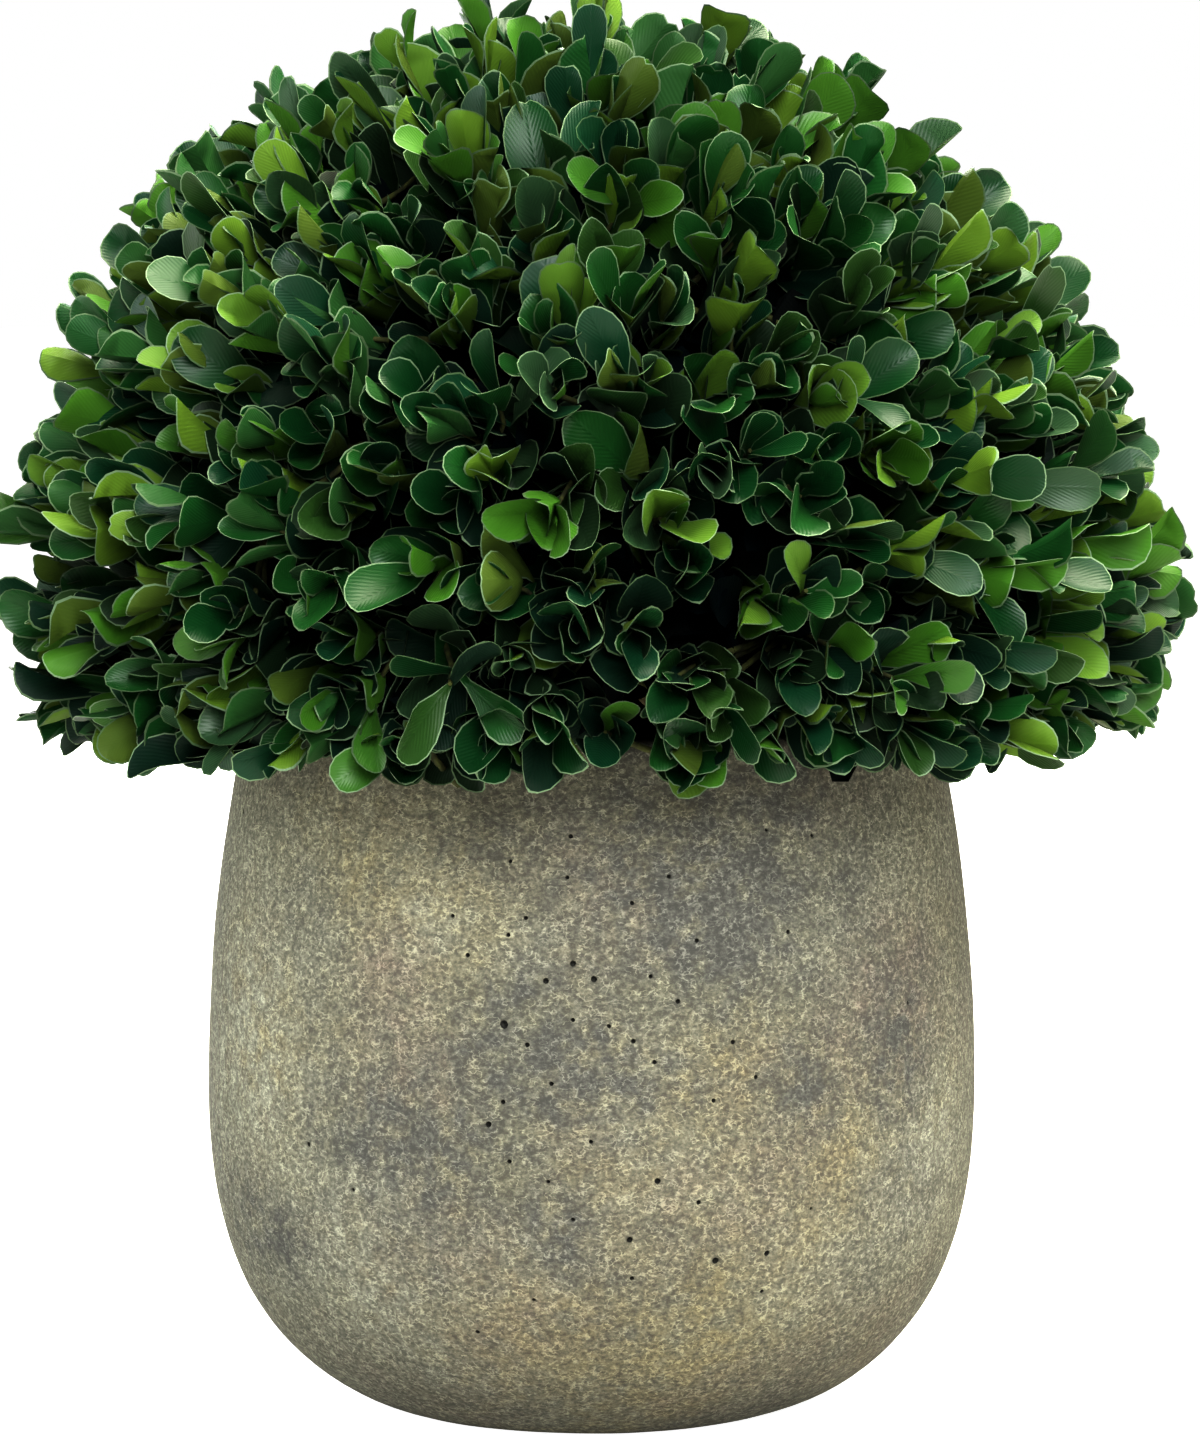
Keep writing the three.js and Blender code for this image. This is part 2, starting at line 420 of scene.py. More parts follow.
FLAKE = 1.3 * MM  # the grains of dry pigment; finer dust among them is the detail of the noise
FLAKE_SQUASH = (1, 1, 1.3)
FLAKE_LEVELS = (0.38, 0.80)
FLAKE_EDGE = 1.3  # the power that sharpens the flakes
FLAKE_RELIEF = 0.18 * MM
CURL = 1.8 * MM  # the paler curled flakes among them
CURL_SQUASH = (1, 1, 1.4)
CURL_WIDTH = 0.055  # either side of the noise's middle level
CURL_PATCH = 2.2 * MM
CURL_PATCH_LEVELS = (0.40, 0.58)
CURL_PALENESS = 0.3
DRIFT = 7 * MM  # soft changes of how thick the flakes lie
DRIFT_LEVELS = (0.2, 0.8)
DRIFT_DEPTH = 0.02
PATTERN_TILT = 0.12  # radians, so that no pattern lies level
GROUND_ROUGHNESS, FLAKE_ROUGHNESS = 0.96, 0.84


def cloudy_marks(tree, where, size, offset, squash=(1, 1, 1), detail=2.0, roughness=0.5):
    """Cloudy marks of one size, from 0 to 1. The offset keeps them apart from the other marks."""
    place = node(
        tree,
        "ShaderNodeMapping",
        {"Vector": where, "Location": [offset] * 3, "Rotation": (0, PATTERN_TILT, 0), "Scale": squash},
    )
    marks = node(
        tree,
        "ShaderNodeTexNoise",
        {"Vector": place.outputs[0], "Scale": 1 / size, "Detail": detail, "Roughness": roughness},
    )
    return marks.outputs["Fac"]


def curled_flakes(tree, where):
    """Thin curled lines along the middle level of cloudy marks, whole in some patches and gone in others."""
    marks = cloudy_marks(tree, where, CURL, 7.3, CURL_SQUASH)
    from_middle = node(tree, "ShaderNodeMath", {0: marks, 1: 0.5}, operation="SUBTRACT")
    off_line = node(tree, "ShaderNodeMath", {0: from_middle.outputs[0]}, operation="ABSOLUTE")
    line = node(
        tree,
        "ShaderNodeMapRange",
        {"Value": off_line.outputs[0], "From Min": CURL_WIDTH, "From Max": 0.0},
    )
    low, high = CURL_PATCH_LEVELS
    marks = cloudy_marks(tree, where, CURL_PATCH, 9.1)
    patch = node(tree, "ShaderNodeMapRange", {"Value": marks, "From Min": low, "From Max": high})
    broken = node(tree, "ShaderNodeMath", {0: line.outputs[0], 1: patch.outputs[0]}, operation="MULTIPLY")
    return broken.outputs[0]


def stained(tree, where, places, number):
    """Where one kind of stain lies, from 0 to 1: at its listed places, and faintly in a field of its own."""
    low, high = STAIN_FIELD_LEVELS
    marks = cloudy_marks(tree, where, STAIN_FIELD, 5.0 + 2 * number)
    total = node(tree, "ShaderNodeMapRange", {"Value": marks, "From Min": low, "From Max": high}).outputs[0]
    for azimuth, height, reach in places:
        radius = float(pot_radius(height * MM))
        angle = math.radians(azimuth)
        middle = (radius * math.cos(angle), radius * math.sin(angle), height * MM)
        away = node(tree, "ShaderNodeVectorMath", {0: where, 1: middle}, operation="DISTANCE")
        stain = node(
            tree,
            "ShaderNodeMapRange",
            {"Value": away.outputs["Value"], "From Min": reach * MM, "From Max": 0.0},
        )
        total = node(tree, "ShaderNodeMath", {0: total, 1: stain.outputs[0]}, operation="ADD").outputs[0]
    low, high = STAIN_BLOTCH_LEVELS
    least, most = STAIN_BLOTCH_COVER
    marks = cloudy_marks(tree, where, STAIN_BLOTCH, 11.0 + number, detail=3.0)
    blotches = node(
        tree,
        "ShaderNodeMapRange",
        {"Value": marks, "From Min": low, "From Max": high, "To Min": least, "To Max": most},
    )
    broken = node(tree, "ShaderNodeMath", {0: total, 1: blotches.outputs[0]}, operation="MULTIPLY")
    return node(tree, "ShaderNodeMapRange", {"Value": broken.outputs[0]}).outputs[0]


def pigmented_cement():
    """Cast cement dusted with dry pigment: matte, with fine pale flakes over grey and soft, cloudy stains."""
    material, tree, skin = new_material("pigmented_cement")
    where = node(tree, "ShaderNodeTexCoord").outputs["Object"]

    # How thick the pigment lies: fine grain, paler curls and a slow drift.
    curls = curled_flakes(tree, where)
    pale_curls = node(tree, "ShaderNodeMath", {0: curls, 1: CURL_PALENESS}, operation="MULTIPLY")
    grain = cloudy_marks(tree, where, FLAKE, 0.0, FLAKE_SQUASH, detail=5.0, roughness=0.68)
    low, high = DRIFT_LEVELS
    marks = cloudy_marks(tree, where, DRIFT, 3.1)
    drift = node(
        tree,
        "ShaderNodeMapRange",
        {"Value": marks, "From Min": low, "From Max": high, "To Min": -DRIFT_DEPTH, "To Max": DRIFT_DEPTH},
    )
    curled = node(tree, "ShaderNodeMath", {0: grain, 1: pale_curls.outputs[0]}, operation="ADD").outputs[0]
    dust = node(tree, "ShaderNodeMath", {0: curled, 1: drift.outputs[0]}, operation="ADD").outputs[0]

    ground, flake = linear(GROUND_TINTS["plain"]), linear(FLAKE_TINTS["plain"])
    for number, (name, places) in enumerate(STAINS.items()):
        stain = stained(tree, where, places, number)
        tints = {"Factor": stain, "A": ground, "B": linear(GROUND_TINTS[name])}
        ground = node(tree, "ShaderNodeMix", tints, data_type="RGBA").outputs["Result"]
        tints = {"Factor": stain, "A": flake, "B": linear(FLAKE_TINTS[name])}
        flake = node(tree, "ShaderNodeMix", tints, data_type="RGBA").outputs["Result"]
        cover = node(tree, "ShaderNodeMath", {0: stain, 1: FLAKE_COVER[name]}, operation="MULTIPLY")
        dust = node(tree, "ShaderNodeMath", {0: dust, 1: cover.outputs[0]}, operation="ADD").outputs[0]

    low, high = FLAKE_LEVELS
    soft = node(tree, "ShaderNodeMapRange", {"Value": dust, "From Min": low, "From Max": high}).outputs[0]
    flakes = node(tree, "ShaderNodeMath", {0: soft, 1: FLAKE_EDGE}, operation="POWER").outputs[0]
    colour = node(tree, "ShaderNodeMix", {"Factor": flakes, "A": ground, "B": flake}, data_type="RGBA")
    tree.links.new(colour.outputs["Result"], skin.inputs["Base Color"])
    roughness = node(
        tree,
        "ShaderNodeMapRange",
        {"Value": flakes, "To Min": GROUND_ROUGHNESS, "To Max": FLAKE_ROUGHNESS},
    )
    tree.links.new(roughness.outputs[0], skin.inputs["Roughness"])
    bump = node(tree, "ShaderNodeBump", {"Height": flakes, "Strength": 0.5, "Distance": FLAKE_RELIEF})
    tree.links.new(bump.outputs[0], skin.inputs["Normal"])
    return material


GRIT = 0.4 * MM


def raw_cement_and_painted_shade():
    """Bare cast cement inside an air hole, dark and gritty: partly its own colour, as no pigment reaches it,
    and partly painted shade of the hole's depth.
    """
    material, tree, skin = new_material("raw_cement_and_painted_shade")
    where = node(tree, "ShaderNodeTexCoord")
    grit = node(tree, "ShaderNodeTexNoise", {"Vector": where.outputs["Object"], "Scale": 1 / GRIT})
    colour = node(tree, "ShaderNodeValToRGB", {"Fac": grit.outputs["Fac"]})
    set_stops(colour, (0.35, 0.7), ("#1f1f1c", "#3a3a34"))
    tree.links.new(colour.outputs[0], skin.inputs["Base Color"])
    skin.inputs["Roughness"].default_value = 0.95
    return material


# -------------------------------------------------------------------------------------------------
# Pot, potting mix and stem, turned up ring by ring
# -------------------------------------------------------------------------------------------------


def turned(name, profile, sides, lean=0.0):
    """A closed solid raised from its flat underside, ring by ring; profile lists radii and heights."""
    (radius, height), *rings = profile
    place = (0, 0, height)
    bpy.ops.mesh.primitive_circle_add(vertices=sides, radius=radius, fill_type="NGON", location=place)
    made = bpy.context.object
    made.name = name
    bpy.ops.object.transform_apply(location=True, rotation=True, scale=True)
    bpy.ops.object.mode_set(mode="EDIT")
    bpy.ops.mesh.select_mode(type="FACE")
    bpy.ops.mesh.select_all(action="SELECT")
    shift = 0.0
    for next_radius, next_height in rings:
        step = lean * (next_height - height)
        bpy.ops.mesh.extrude_region_move(TRANSFORM_OT_translate={"value": (step, 0, next_height - height)})
        shift += step
        grow = next_radius / radius
        bpy.ops.transform.resize(value=(grow, grow, 1), center_override=(shift, 0, next_height))
        radius, height = next_radius, next_height
    bpy.ops.mesh.select_all(action="SELECT")
    bpy.ops.mesh.normals_make_consistent(inside=False)
    bpy.ops.object.mode_set(mode="OBJECT")
    return made


def finished(piece, name, **settings):
    """Adds a modifier with its settings and applies it."""
    modifier = piece.modifiers.new(name, name)
    for key, value in settings.items():
        setattr(modifier, key, value)
    bpy.context.view_layer.objects.active = piece
    bpy.ops.object.modifier_apply(modifier=modifier.name)


def clouds(name, size, depth=2):
    """Cloudy marks of one size, for a piece's relief."""
    texture = bpy.data.textures.new(name, "CLOUDS")
    texture.noise_scale, texture.noise_depth = size, depth
    return texture


def settled(piece, replaced):
    """Parents a finished piece to the root body and hides the node that it replaces."""
    bpy.ops.object.select_all(action="DESELECT")
    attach(piece, "root")
    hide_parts(replaced)


# Air holes in the cast cement: azimuth in degrees, height and width in millimetres.
AIR_HOLES = (
    (-103, 99, 2.2),
    (-94, 133, 1.1),
    (-102, 135, 1.1),
    (-100, 124, 1.1),
    (-102, 121, 1.1),
    (-97, 124, 1.1),
    (-92, 113, 1.3),
    (-97, 110, 1.3),
    (-94, 110, 1.0),
    (-89, 111, 1.4),
    (-82, 112, 1.1),
    (-77, 105, 1.1),
    (-79, 102, 1.1),
    (-84, 97, 1.0),
    (-88, 99, 1.1),
    (-103, 83, 1.1),
    (-104, 77, 1.3),
    (-73, 83, 1.0),
    (-92, 58, 1.2),
    (-89, 56, 1.6),
    (-85, 53, 1.6),
    (-64, 48, 1.7),
    (-71, 46, 1.5),
    (-56, 58, 1.1),
    (-64, 39, 1.1),
    (-84, 44, 1.1),
    (-127, 61, 1.0),
    (-135, 70, 1.0),
    (-93, 142, 1.2),
    (-62, 143, 1.1),
    (-55, 139, 1.0),
    (-37, 100, 1.0),
    (-108, 116, 1.2),
    (-99, 95, 1.1),
    (-92, 102, 1.0),
    (-86, 105, 1.1),
    (-81, 92, 1.2),
    (-95, 87, 1.0),
    (-101, 70, 1.1),
    (-96, 66, 1.2),
    (-110, 124, 1.1),
    (-79, 133, 1.1),
    (-84, 126, 1.0),
    (-74, 118, 1.1),
    (-70, 95, 1.1),
    (-66, 88, 1.2),
    (-90, 75, 1.1),
    (-80, 66, 1.3),
    (-74, 60, 1.1),
    (-98, 38, 1.2),
    (-108, 30, 1.0),
    (-60, 120, 1.1),
)
# More holes all round the back and the sides.
SCATTERED_HOLES = 70
SCATTER_AZIMUTHS = (-20, 200)
SCATTER_HEIGHTS = (20, 145)
SCATTER_WIDTHS = (1.0, 1.2, 1.6)
HOLE_SPACING = 5.5 * MM
HOLE_DEPTH = 1.6 * MM
HOLE_REACH = 0.85  # of the bevel that opens a hole, beside its width
HOLE_EDGE = (0.12, 0.25)  # how far the rounded edge draws in, beside the width, and down, beside the depth
HOLE_WALL = (0.04, 0.75)  # the same for the wall below it
POT_SIDES = 120
# Heights of the outer rings in millimetres, closer together at the foot.
RING_HEIGHTS = [0.0, 0.8, 2, 4, 7, 11, 16, *np.linspace(21, 159, 32)]


def bored(piece, holes):
    """Pushes small holes into the wall, each at a corner of the mesh that is moved halfway to its place.

    A hole with no free corner near it is left out.
    """
    mesh = piece.data
    places = np.empty(len(mesh.vertices) * 3)
    mesh.vertices.foreach_get("co", places)
    places = places.reshape(-1, 3)
    # Holes keep clear of the inside, the foot's edge and the lip.
    is_outer = np.hypot(places[:, 0], places[:, 1]) > pot_radius(places[:, 2]) - 0.5 * MM
    is_outer &= (places[:, 2] > 6 * MM) & (places[:, 2] < POT_HEIGHT - 8 * MM)
    taken = set()
    widths = {}
    for azimuth, height, width in holes:
        angle = math.radians(azimuth)
        radius = pot_radius(height * MM)
        spot = np.array([radius * math.cos(angle), radius * math.sin(angle), height * MM])
        away = np.where(is_outer, np.linalg.norm(places - spot, axis=1), 1.0)
        corner = int(away.argmin())
        if not any(np.linalg.norm(places[corner] - places[other]) < HOLE_SPACING for other in taken):
            taken.add(corner)
            mesh.vertices[corner].co = Vector(places[corner]).lerp(Vector(spot), 0.5)
            widths.setdefault(round(width * 2) / 2, []).append(corner)
    marks = {width: piece.vertex_groups.new(name=f"holes_{width}") for width in widths}
    for width, corners in widths.items():
        marks[width].add(corners, 1.0, "REPLACE")
    for width, group in marks.items():
        bpy.ops.object.mode_set(mode="EDIT")
        bpy.ops.mesh.select_mode(type="VERT")
        bpy.ops.mesh.select_all(action="DESELECT")
        piece.vertex_groups.active_index = group.index
        bpy.ops.object.vertex_group_select()
        reach = HOLE_REACH * width * MM
        bpy.ops.mesh.bevel(affect="VERTICES", offset=reach, offset_type="OFFSET", segments=1)
        bpy.ops.mesh.select_mode(type="FACE")
        narrower, deeper = HOLE_EDGE[0] * width * MM, HOLE_EDGE[1] * HOLE_DEPTH
        bpy.ops.mesh.inset(thickness=narrower, depth=-deeper, use_individual=True)
        # The hole's wall and bottom take the dark raw cement, which also paints the shade inside the hole.
        piece.active_material_index = 1
        bpy.ops.object.material_slot_assign()
        narrower, deeper = HOLE_WALL[0] * width * MM, HOLE_WALL[1] * HOLE_DEPTH
        bpy.ops.mesh.inset(thickness=narrower, depth=-deeper, use_individual=True)
        bpy.ops.object.mode_set(mode="OBJECT")
    piece.vertex_groups.clear()


def cavity():
    """Radii and heights of the pot's inside, from the lip down to the floor."""
    heights = np.linspace(POT_HEIGHT - LIP_ROUNDING, POT_FLOOR + 4 * MM, 12)
    walls = [(float(pot_radius(h) - POT_WALL), float(h)) for h in heights]
    return walls + [(walls[-1][0] - 5 * MM, POT_FLOOR), (8 * MM, POT_FLOOR)]


CAST_SWELL = 30 * MM  # how wide the swellings of the cast wall are
CAST_UNEVENNESS = 0.5 * MM  # and how far they stand out
POT_CREASE = math.radians(50)


def foot_and_walls():
    """Radii and heights of the pot's outer rings, with the foot's worn edge drawn in."""
    for height in RING_HEIGHTS:
        height = height * MM
        worn = FOOT_ROUNDING * math.exp(-height / FOOT_ROUNDING_REACH)
        yield float(pot_radius(height)) - worn, height


def pot():
    """The cement pot: turned as one hollow piece with a round lip, bored, smoothed and slightly uneven."""
    foot, *walls = foot_and_walls()
    lip_level = POT_HEIGHT - LIP_ROUNDING
    outer, inner = float(pot_radius(lip_level)), float(pot_radius(lip_level) - POT_WALL)
    turns = np.radians([30, 60, 90])
    arc = [(LIP_ROUNDING * (1 - math.cos(a)), lip_level + LIP_ROUNDING * math.sin(a)) for a in turns]
    lip = [(outer - inwards, height) for inwards, height in arc]
    lip += [(inner + outwards, height) for outwards, height in arc[::-1]]
    # The last ring of the underside lies close to the foot's edge, which keeps that edge firm.
    underside = [(12 * MM, 0.0), (36 * MM, 0.0), (foot[0] - 0.8 * MM, 0.0)]
    piece = turned("cement_pot", underside + walls + lip + cavity(), POT_SIDES)
    piece.data.materials.append(pigmented_cement())
    piece.data.materials.append(raw_cement_and_painted_shade())
    holes = list(AIR_HOLES)
    for _ in range(SCATTERED_HOLES):
        azimuth, height = rng.uniform(*SCATTER_AZIMUTHS), rng.uniform(*SCATTER_HEIGHTS)
        holes.append((azimuth, height, rng.choice(SCATTER_WIDTHS)))
    bored(piece, holes)
    finished(piece, "SUBSURF", levels=1, render_levels=1)
    relief = {"texture": clouds("cast_unevenness", CAST_SWELL), "texture_coords": "LOCAL"}
    finished(piece, "DISPLACE", **relief, strength=CAST_UNEVENNESS, mid_level=0.5)
    # The underside is pressed flat again, and nothing hangs below it.
    for v in piece.data.vertices:
        is_underside = v.co.z < 0.5 * MM and v.co.xy.length < foot[0] + 0.3 * MM
        v.co.z = 0.0 if is_underside else max(0.0, v.co.z)
    piece.data.shade_smooth()
    piece.data.set_sharp_from_angle(angle=POT_CREASE)
    settled(piece, "pot")


MIX_SIDES = 72
CRUMB_SIZE = 5 * MM
CRUMB_RELIEF = 3 * MM
CRUMB_LEVEL = 0.75  # most of the relief goes down from the mix's level
CRUMB_TOPS = 1 * MM  # how far the highest crumbs may stand above that level


def potting_mix():
    """The fill of the pot, loose and crumbly on top."""
    inside = [(r - PIECE_GAP, h) for r, h in cavity()[::-1]]
    inside[0] = (inside[0][0], POT_FLOOR + PIECE_GAP)
    inside[1] = (inside[1][0], POT_FLOOR + PIECE_GAP)
    top = mix_high[2] - CRUMB_TOPS
    walls = [(r, h) for r, h in inside if h < top - 2 * MM]
    rim = float(pot_radius(top) - POT_WALL - PIECE_GAP)
    surface = [(rim - drop, top) for drop in np.linspace(0, rim - 6 * MM, 16)]
    piece = turned("potting_mix_fill", walls + surface, MIX_SIDES)
    on_top = [v for v in piece.data.vertices if v.co.z > top - 0.1 * MM]
    inside_rim = [v.index for v in on_top if v.co.xy.length < rim - 2 * MM]
    crumbs = piece.vertex_groups.new(name="crumbs")
    crumbs.add(inside_rim, 1.0, "REPLACE")
    finished(piece, "SUBSURF", levels=1, render_levels=1, subdivision_type="SIMPLE")
    relief = {"texture": clouds("crumbs", CRUMB_SIZE, 3), "texture_coords": "LOCAL", "vertex_group": "crumbs"}
    finished(piece, "DISPLACE", **relief, strength=CRUMB_RELIEF, mid_level=CRUMB_LEVEL, direction="Z")
    piece.data.shade_smooth()
    piece.data.materials.append(damp_potting_mix())
    settled(piece, "potting_mix")


STEM_FOOT_RADIUS = 9 * MM
STEM_RADIUS = 6.5 * MM
STEM_TIP_RADIUS = 5 * MM
STEM_FLARE_HEIGHT = 9 * MM
STEM_LEAN = 2.5 * MM
STEM_SIDES = 20
STEM_RINGS = 20
STEM_CUT = 0.4  # the last ring of the flat cut, beside the one round it
STEM_FURROW = 1.5 * MM
STEM_RELIEF = 1.1 * MM
STEM_SQUASH = 0.2  # a fifth of the height while the furrows are pressed in
STEM_TOP = np.array([STEM_LEAN, 0, stem_high[2]])


def stem_radius(up):
    """The stem's radius at a height above its foot: a root flare below a taper."""
    height = stem_high[2] - stem_low[2]
    taper = STEM_RADIUS + (STEM_TIP_RADIUS - STEM_RADIUS) * up / height
    return taper + (STEM_FOOT_RADIUS - STEM_RADIUS) * max(0.0, 1 - up / STEM_FLARE_HEIGHT) ** 2


def scaled_in_height(piece, share):
    """Squashes or stretches a piece along Z."""
    for v in piece.data.vertices:
        v.co.z *= share


def stem():
    """The short stem, with its root flare, a slight lean and a flat cut, furrowed along the grain."""
    height = stem_high[2] - stem_low[2]
    rings = [(stem_radius(up), stem_low[2] + up) for up in np.linspace(0, height, STEM_RINGS)]
    rings.append((rings[-1][0] * STEM_CUT, stem_high[2]))
    piece = turned("stem_wood", rings, STEM_SIDES, lean=STEM_LEAN / height)
    finished(piece, "SUBSURF", levels=2, render_levels=2, subdivision_type="SIMPLE")
    # The furrows are pressed in while the stem is squat, so that they run long as it is stretched again.
    scaled_in_height(piece, STEM_SQUASH)
    relief = {"texture": clouds("furrows", STEM_FURROW, 3), "texture_coords": "LOCAL"}
    finished(piece, "DISPLACE", **relief, strength=STEM_RELIEF, mid_level=0.6)
    scaled_in_height(piece, 1 / STEM_SQUASH)
    low = stem_low[2]
    for v in piece.data.vertices:
        v.co.z = min(max(v.co.z, low), float(stem_high[2]))
    piece.data.shade_smooth()
    piece.data.materials.append(box_bark("stem_bark", "#3b3024", "#8a7a5c"))
    settled(piece, "stem")


# -------------------------------------------------------------------------------------------------
# Leaves
# -------------------------------------------------------------------------------------------------

UPPER, UNDER, MARGIN = 0, 1, 2
NEAR_TIP = 0.985  # the last station below the tip, as a share of the leaf's length
THICKENING = 6  # a leaf has its full thickness one sixth of the way up
WAVE_RUN = 7  # radians of the margin's wave along a leaf
LEAST_BEND = 1e-3  # radians, so that no leaf bends round an endless radius
CREASE = math.radians(75)


def strip(low, high):
    """Faces between two rows of points that run from left to right."""
    if len(low) == len(high):
        return [[low[i], low[i + 1], high[i + 1], high[i]] for i in range(len(low) - 1)]
    faces, i, j = [], 0, 0
    while i < len(low) - 1 or j < len(high) - 1:
        high_is_done = j == len(high) - 1
        if high_is_done or (i < len(low) - 1 and (i + 0.5) / (len(low) - 1) <= (j + 0.5) / (len(high) - 1)):
            faces.append([low[i], low[i + 1], high[j]])
            i += 1
        else:
            faces.append([low[i], high[j + 1], high[j]])
            j += 1
    return faces


class LeafPattern:
    """The net that every leaf of one fineness is shaped from.

    Its rim runs up the left side, over the tip and down the right. A fine leaf has a margin just inside its
    rim, and the blade's rows cross from margin to margin by way of the midrib, above and below.
    """

    def __init__(self, stations, rows, has_margin):
        self.stations = np.array(stations)
        self.tip = len(stations)
        self.rim_size = 2 * self.tip + 1
        self.has_margin = has_margin
        self.rows = rows
        self.faces, self.kinds = [], []
        rim = list(range(self.rim_size))
        free = self.rim_size
        for kind in (UPPER, UNDER):
            inset = rim
            if has_margin:
                inset = [0, *range(free, free + self.rim_size - 2), self.rim_size - 1]
                free += self.rim_size - 2
                for i in range(self.rim_size - 1):
                    ring = dict.fromkeys([rim[i], inset[i], inset[i + 1], rim[i + 1]])
                    self.add([list(ring)], kind, MARGIN)
            low = [inset[0], inset[-1]]
            for i in range(1, rows + 1):
                high = [inset[i], free, inset[-1 - i]]
                free += 1
                self.add(strip(low, high), kind, kind)
                low = high
            self.add(strip(low, inset[rows + 1 : self.rim_size - 1 - rows]), kind, kind)
        self.kinds = np.array(self.kinds)
        self.corners = np.concatenate(self.faces)
        self.sizes = np.array([len(face) for face in self.faces])

    def add(self, faces, side, kind):
        """Adds faces of one kind.

        Those below are turned over round their first point, so they split along the same diagonals as those
        above.
        """
        self.faces += [[face[0], *face[:0:-1]] for face in faces] if side == UNDER else faces
        self.kinds += [kind] * len(faces)


FINE_LEAF = LeafPattern((0, 0.18, 0.38, 0.56, 0.72, 0.85, 0.94, NEAR_TIP), rows=5, has_margin=True)
COARSE_LEAF = LeafPattern((0, 0.28, 0.55, 0.78, 0.93), rows=3, has_margin=False)


def outline_width(leaf, s):
    """The blade's half width at shares of its length. Below the tip it is at least the petiole's."""
    base, tip = leaf["base_fullness"], leaf["tip_fullness"]
    widest = base / (base + tip)
    outline = s**base * (1 - s) ** tip / (widest**base * (1 - widest) ** tip)
    return np.maximum(leaf["half_width"] * outline, PETIOLE_HALF_WIDTH * (s < 0.999))


def leaf_shapes(pattern, leaves):
    """Points of all leaves, each in its own axes, and the leaves' map.

    X runs across the leaf, Y from its base to its tip, and Z stands out of its upper face.
    """
    leaf = {name: values[:, None] for name, values in leaves.items() if values.ndim == 1}
    count = len(leaves["length"])

    # The flat leaf: its rim, and above and below it the margin's inner line and the midrib.
    up_one_side = np.append(pattern.stations, 1.0)
    s = np.append(up_one_side, pattern.stations[::-1])[None, :]
    side = np.sign(np.arange(pattern.rim_size) - pattern.tip)
    rim_height = np.broadcast_to(s * leaf["length"], (count, s.size))
    rim = np.stack([side * outline_width(leaf, s), rim_height], axis=2)
    rim[:, pattern.tip, 1] *= 1 - leaves["notch"]
    run = rim[:, 2:] - rim[:, :-2]
    inwards = unit(np.stack([run[..., 1], -run[..., 0]], axis=2))
    inset = (rim[:, 1:-1] + LEAF_MARGIN * inwards) if pattern.has_margin else rim[:, :0]
    row_length = pattern.stations[1 : pattern.rows + 1][None, :] * leaf["length"]
    midrib = np.stack([np.zeros_like(row_length), row_length], axis=2)
    face = np.concatenate([inset, midrib], axis=1)
    flat = np.concatenate([rim, face, face], axis=1)
    depth = np.zeros(flat.shape[1])
    depth[-face.shape[1] :] = 1.0
    in_margin = np.zeros(face.shape[1], bool)
    in_margin[: inset.shape[1]] = True
    depth[-face.shape[1] :][in_margin] = MARGIN_THICKNESS / LEAF_THICKNESS

    # Folded along the midrib, cupped, waved at the margin and thickened downwards.
    x, s = flat[..., 0], flat[..., 1] / leaf["length"]
    t = np.clip(x / outline_width(leaf, np.minimum(s, NEAR_TIP)), -1, 1)
    rise = leaf["fold"] * np.abs(x) + leaf["cup"] * x**2 / leaf["half_width"]
    rise = rise + leaf["wave"] * t * np.abs(t) * np.sin(WAVE_RUN * s + leaf["wave_start"])
    thickening = np.minimum(1, THICKENING * s)
    lift = rise - LEAF_THICKNESS * depth[None, :] * thickening
    lift[:, : pattern.rim_size] -= 0.5 * MARGIN_THICKNESS * thickening[:, : pattern.rim_size]

    # Twisted and bent.
    roll = leaf["twist"] * s
    across = x * np.cos(roll) - lift * np.sin(roll)
    up = x * np.sin(roll) + lift * np.cos(roll)
    bend = np.where(np.abs(leaf["bend"]) < LEAST_BEND, LEAST_BEND, leaf["bend"])
    angle = bend * s
    y = leaf["length"] * np.sin(angle) / bend - up * np.sin(angle)
    z = leaf["length"] * (1 - np.cos(angle)) / bend + up * np.cos(angle)

    # The map stays a little inside its own edges.
    chart = np.stack([0.5 + 0.5 * x / (1.02 * leaf["half_width"]), 0.01 + 0.98 * s], axis=2)
    return np.stack([across, y, z], axis=2), chart


def placed(shapes, leaves):
    """The leaves' points in the plant's own frame, from each leaf's base, direction and upper side."""
    along, normal = leaves["direction"], leaves["normal"]
    axes = np.stack([np.cross(along, normal), along, normal], axis=1)
    return np.einsum("nvk,nkc->nvc", shapes, axes) + leaves["base"][:, None, :]


def mesh_piece(name, points, corners, sizes, materials, slots=None, chart=None):
    """A smooth mesh object from arrays of points, face corners and face sizes."""
    mesh = bpy.data.meshes.new(name)
    mesh.vertices.add(len(points))
    mesh.vertices.foreach_set("co", points.astype(np.float32).ravel())
    mesh.loops.add(len(corners))
    mesh.loops.foreach_set("vertex_index", corners.astype(np.int32))
    mesh.polygons.add(len(sizes))
    mesh.polygons.foreach_set("loop_start", (np.cumsum(sizes) - sizes).astype(np.int32))
    for material in materials:
        mesh.materials.append(material)
    if slots is not None:
        mesh.polygons.foreach_set("material_index", slots.astype(np.int32))
    if chart is not None:
        mesh.uv_layers.new(name=LEAF_MAP).uv.foreach_set("vector", chart.astype(np.float32).ravel())
    mesh.update(calc_edges=True)
    mesh.shade_smooth()
    mesh.set_sharp_from_angle(angle=CREASE)
    piece = bpy.data.objects.new(name, mesh)
    bpy.context.scene.collection.objects.link(piece)
    return piece


